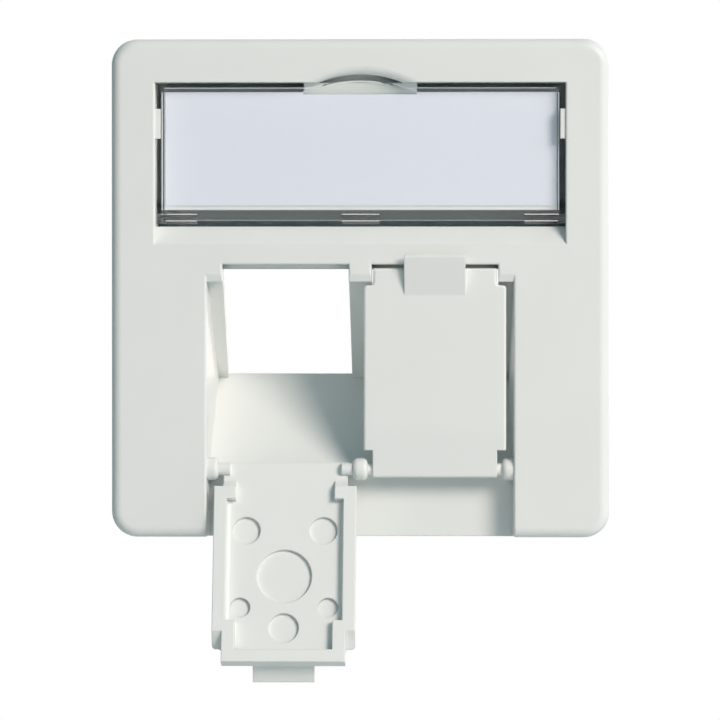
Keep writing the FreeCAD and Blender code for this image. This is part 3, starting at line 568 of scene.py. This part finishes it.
def at_face(item):
    """Whether a face, edge or corner lies in the head's front plane."""
    return all(abs(spot.y - screw_low.y) < MERGE_DISTANCE for spot in corner_spots(item))


def in_middle(face):
    """Whether a face's centre lies on the screw's axis."""
    return (face.calc_center_median() - screw_axis).xz.length < MIDDLE_REACH


sides = [
    (Vector((0, 0, 1)), SLOT_HALF_WIDTH),
    (Vector((0, 0, -1)), SLOT_HALF_WIDTH),
    (Vector((1, 0, 0)), SLOT_HALF_LENGTH),
    (Vector((-1, 0, 0)), SLOT_HALF_LENGTH),
]
for normal, reach in sides:
    items = shape.faces[:] + shape.edges[:] + shape.verts[:]
    bmesh.ops.bisect_plane(
        shape, geom=[item for item in items if at_face(item)],
        plane_co=screw_axis + normal * reach, plane_no=normal,
    )
middle = [face for face in shape.faces if at_face(face) and in_middle(face)]
pushed = bmesh.ops.extrude_face_region(shape, geom=middle)["geom"]
floor_corners = [item for item in pushed if isinstance(item, bmesh.types.BMVert)]
bmesh.ops.translate(shape, vec=along * SLOT_DEPTH, verts=floor_corners)
print("slot corners", len(floor_corners))

# %% [markdown]
# The thread is one small ridge, carried round the shank by a spin that also moves it forward at
# each step. A bump would be quicker, but the shank stands out behind the plate, where the ridges
# show in its outline. The ridge's root sinks a little into the core, so that no gap is left.

# %% Screw thread
THREAD_RADIUS = 1.5 * MM
THREAD_PITCH = 0.5 * MM
THREAD_START = 0.5 * MM
THREAD_END_GAP = 0.4 * MM
THREAD_STEPS = 28
ROOT_SINK = 0.03 * MM
thread_length = screw_high.y - THREAD_END_GAP - THREAD_START - THREAD_PITCH
turns = thread_length / THREAD_PITCH
ridge_spots = [
    (CORE_RADIUS - ROOT_SINK, THREAD_START),
    (THREAD_RADIUS, THREAD_START + THREAD_PITCH / 2),
    (CORE_RADIUS - ROOT_SINK, THREAD_START + THREAD_PITCH),
]
ridge_sides = len(ridge_spots)
ridge = [shape.verts.new((0.0, y, screw_axis.z + radius)) for radius, y in ridge_spots]
ridge += [shape.edges.new((ridge[n], ridge[(n + 1) % ridge_sides])) for n in range(ridge_sides)]
bmesh.ops.spin(
    shape, geom=ridge, cent=screw_axis, axis=along, dvec=along * THREAD_PITCH / THREAD_STEPS,
    angle=2 * math.pi * turns, steps=round(turns * THREAD_STEPS),
)
bmesh.ops.holes_fill(shape, edges=shape.edges, sides=ridge_sides)
bmesh.ops.recalc_face_normals(shape, faces=shape.faces)
put_in_order(shape)
print(f"thread of {turns:.1f} turns")

# %% [markdown]
# The finished mesh takes the place of the plain screw. Flat shading would show every step of the
# spin, so the faces are shaded smooth, and edges sharper than the limit stay crisp: the crest of
# the thread and the rim of the head keep their lines.

# %% Screw in place
CRISP_ANGLE = math.radians(30)
screw_mesh = bpy.data.meshes.new("threaded_screw")
shape.to_mesh(screw_mesh)
shape.free()
screw_mesh.polygons.foreach_set("use_smooth", [True] * len(screw_mesh.polygons))
screw_mesh.set_sharp_from_angle(angle=CRISP_ANGLE)
screw = bpy.data.objects.new("threaded_screw", screw_mesh)
scene.collection.objects.link(screw)
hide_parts("fixing_screw")
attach(screw, "plate")
print("threaded_screw", len(screw_mesh.polygons), "faces")

# %% [markdown]
# The screw is zinc plated steel: a bright grey metal whose plating is cloudy at the scale of a
# thread. Brushed lines could be drawn on it, but plating hides them. The clouds change the gloss
# more than the colour, so one slow noise drives both.

# %% Screw finish
ZINC_DULL, ZINC_BRIGHT = (0.52, 0.53, 0.55), (0.68, 0.68, 0.68)
ZINC_SMOOTH, ZINC_ROUGH = 0.25, 0.45
ZINC_CLOUDS = 600.0
steel, tree, plated = new_material("screw_steel")
plated.inputs["Metallic"].default_value = 1.0
moulded = add(tree, "ShaderNodeGroup", node_tree=skin)
moulded.inputs["Cloud Size"].default_value = ZINC_CLOUDS
zinc = blend(tree, moulded.outputs["Tone"], ZINC_DULL, ZINC_BRIGHT)
wear = remap(tree, moulded.outputs["Tone"], low=ZINC_SMOOTH, high=ZINC_ROUGH)
tree.links.new(zinc, plated.inputs["Base Color"])
tree.links.new(wear, plated.inputs["Roughness"])
screw_mesh.materials.append(steel)
print("threaded_screw is", steel.name)

# %% [markdown]
# The floor is matt and pale, with a slow unevenness like paint. The soft boxes stand low, so a
# plain pale sheet would look grey from above. More light would burn out the plate, so half of what
# the camera sees of the floor is its own even glow, and the other half keeps the plate's shadow.

# %% Floor finish
FLOOR_GLOW = 0.5
GLOW_COLOUR = (0.95, 0.955, 0.955)
PAINT_DARK, PAINT_LIGHT = (0.84, 0.84, 0.83), (0.88, 0.88, 0.87)
PAINT_ROUGH = 0.9
PAINT_CLOUDS = 12.0
floor_paint, tree, matt = new_material("pale_floor")
matt.inputs["Roughness"].default_value = PAINT_ROUGH
moulded = add(tree, "ShaderNodeGroup", node_tree=skin)
moulded.inputs["Cloud Size"].default_value = PAINT_CLOUDS
paint = blend(tree, moulded.outputs["Tone"], PAINT_DARK, PAINT_LIGHT)
tree.links.new(paint, matt.inputs["Base Color"])
glow = add(tree, "ShaderNodeEmission")
feed(tree, GLOW_COLOUR, glow.inputs["Color"])
path = add(tree, "ShaderNodeLightPath")
share = reckon(tree, "MULTIPLY", path.outputs["Is Camera Ray"], FLOOR_GLOW)
surface = choose(tree, share, matt.outputs["BSDF"], glow.outputs["Emission"])
tree.links.new(surface, tree.nodes["Material Output"].inputs["Surface"])
floor_mesh.materials.append(floor_paint)
print("floor is", floor_paint.name)
